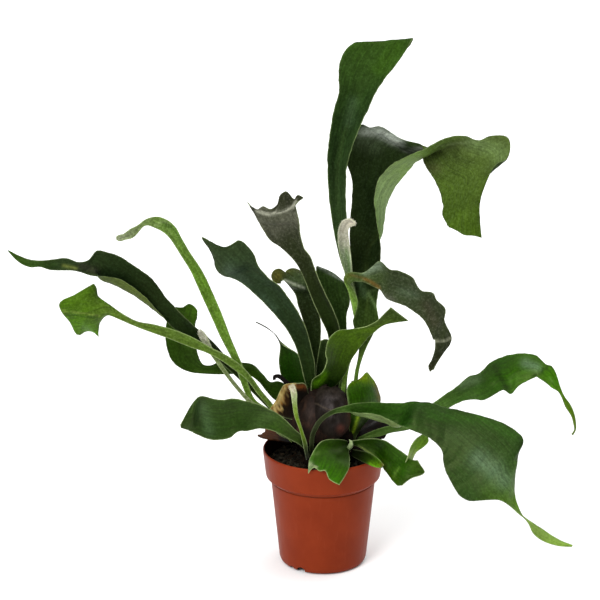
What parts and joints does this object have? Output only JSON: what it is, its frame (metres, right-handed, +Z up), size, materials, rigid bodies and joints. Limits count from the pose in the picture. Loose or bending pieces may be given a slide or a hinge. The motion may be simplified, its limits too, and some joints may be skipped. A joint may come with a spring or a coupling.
{
  "type": "potted staghorn fern",
  "caption": "Staghorn fern with long antler-shaped fronds and brown shield fronds, growing in a round plastic nursery pot.",
  "frame": {"origin": "centre of the pot's flat base", "axes": "+Z up along the pot's axis, +X to the right and -Y to the front as in the picture"},
  "size_m": [0.5455, 0.2075, 0.5237],
  "materials": {
    "frond_dark": "leathery dark green leaf, satin, with fine pale hairs",
    "frond_green": "leathery mid green leaf, satin, with fine pale hairs",
    "frond_bright": "leathery yellow-green leaf, satin",
    "frond_grey": "leathery grey-green leaf under a felt of hairs, matte",
    "frond_young": "young frond covered with white wool, matte",
    "shield_brown": "papery dry shield frond, brown, matte",
    "rhizome": "dark scaly rootstock, matte",
    "soil": "dark damp potting soil, crumbly, matte",
    "pot": "terracotta-coloured moulded plastic, slight sheen"
  },
  "bodies": {
    "root": {"frond_tall_front": "frond_dark", "frond_tall_back": "frond_dark", "frond_white_young": "frond_young", "frond_cup": "frond_grey", "frond_left_strap": "frond_dark", "frond_curled_behind": "frond_dark", "frond_broad_dark": "frond_dark", "frond_right_drooping": "frond_grey", "frond_bright_short": "frond_bright", "frond_short_dark": "frond_dark", "frond_pointed": "frond_bright", "frond_left_arching": "frond_bright", "frond_left_longest": "frond_dark", "frond_left_flag": "frond_bright", "frond_left_upturned": "frond_dark", "frond_low_left": "frond_green", "frond_crozier": "frond_young", "frond_young_bud": "frond_young", "shield_green": "frond_bright", "frond_right_longest": "frond_green", "frond_right_upper": "frond_green", "frond_over_rim": "frond_green", "frond_right_low": "frond_green", "frond_under_leaf": "frond_bright", "shield_dome": "shield_brown", "shield_left": "shield_brown", "shield_torn": "shield_brown", "shield_old": "shield_brown", "rhizome": "rhizome", "soil": "soil", "pot": "pot"}
  },
  "joints": []
}
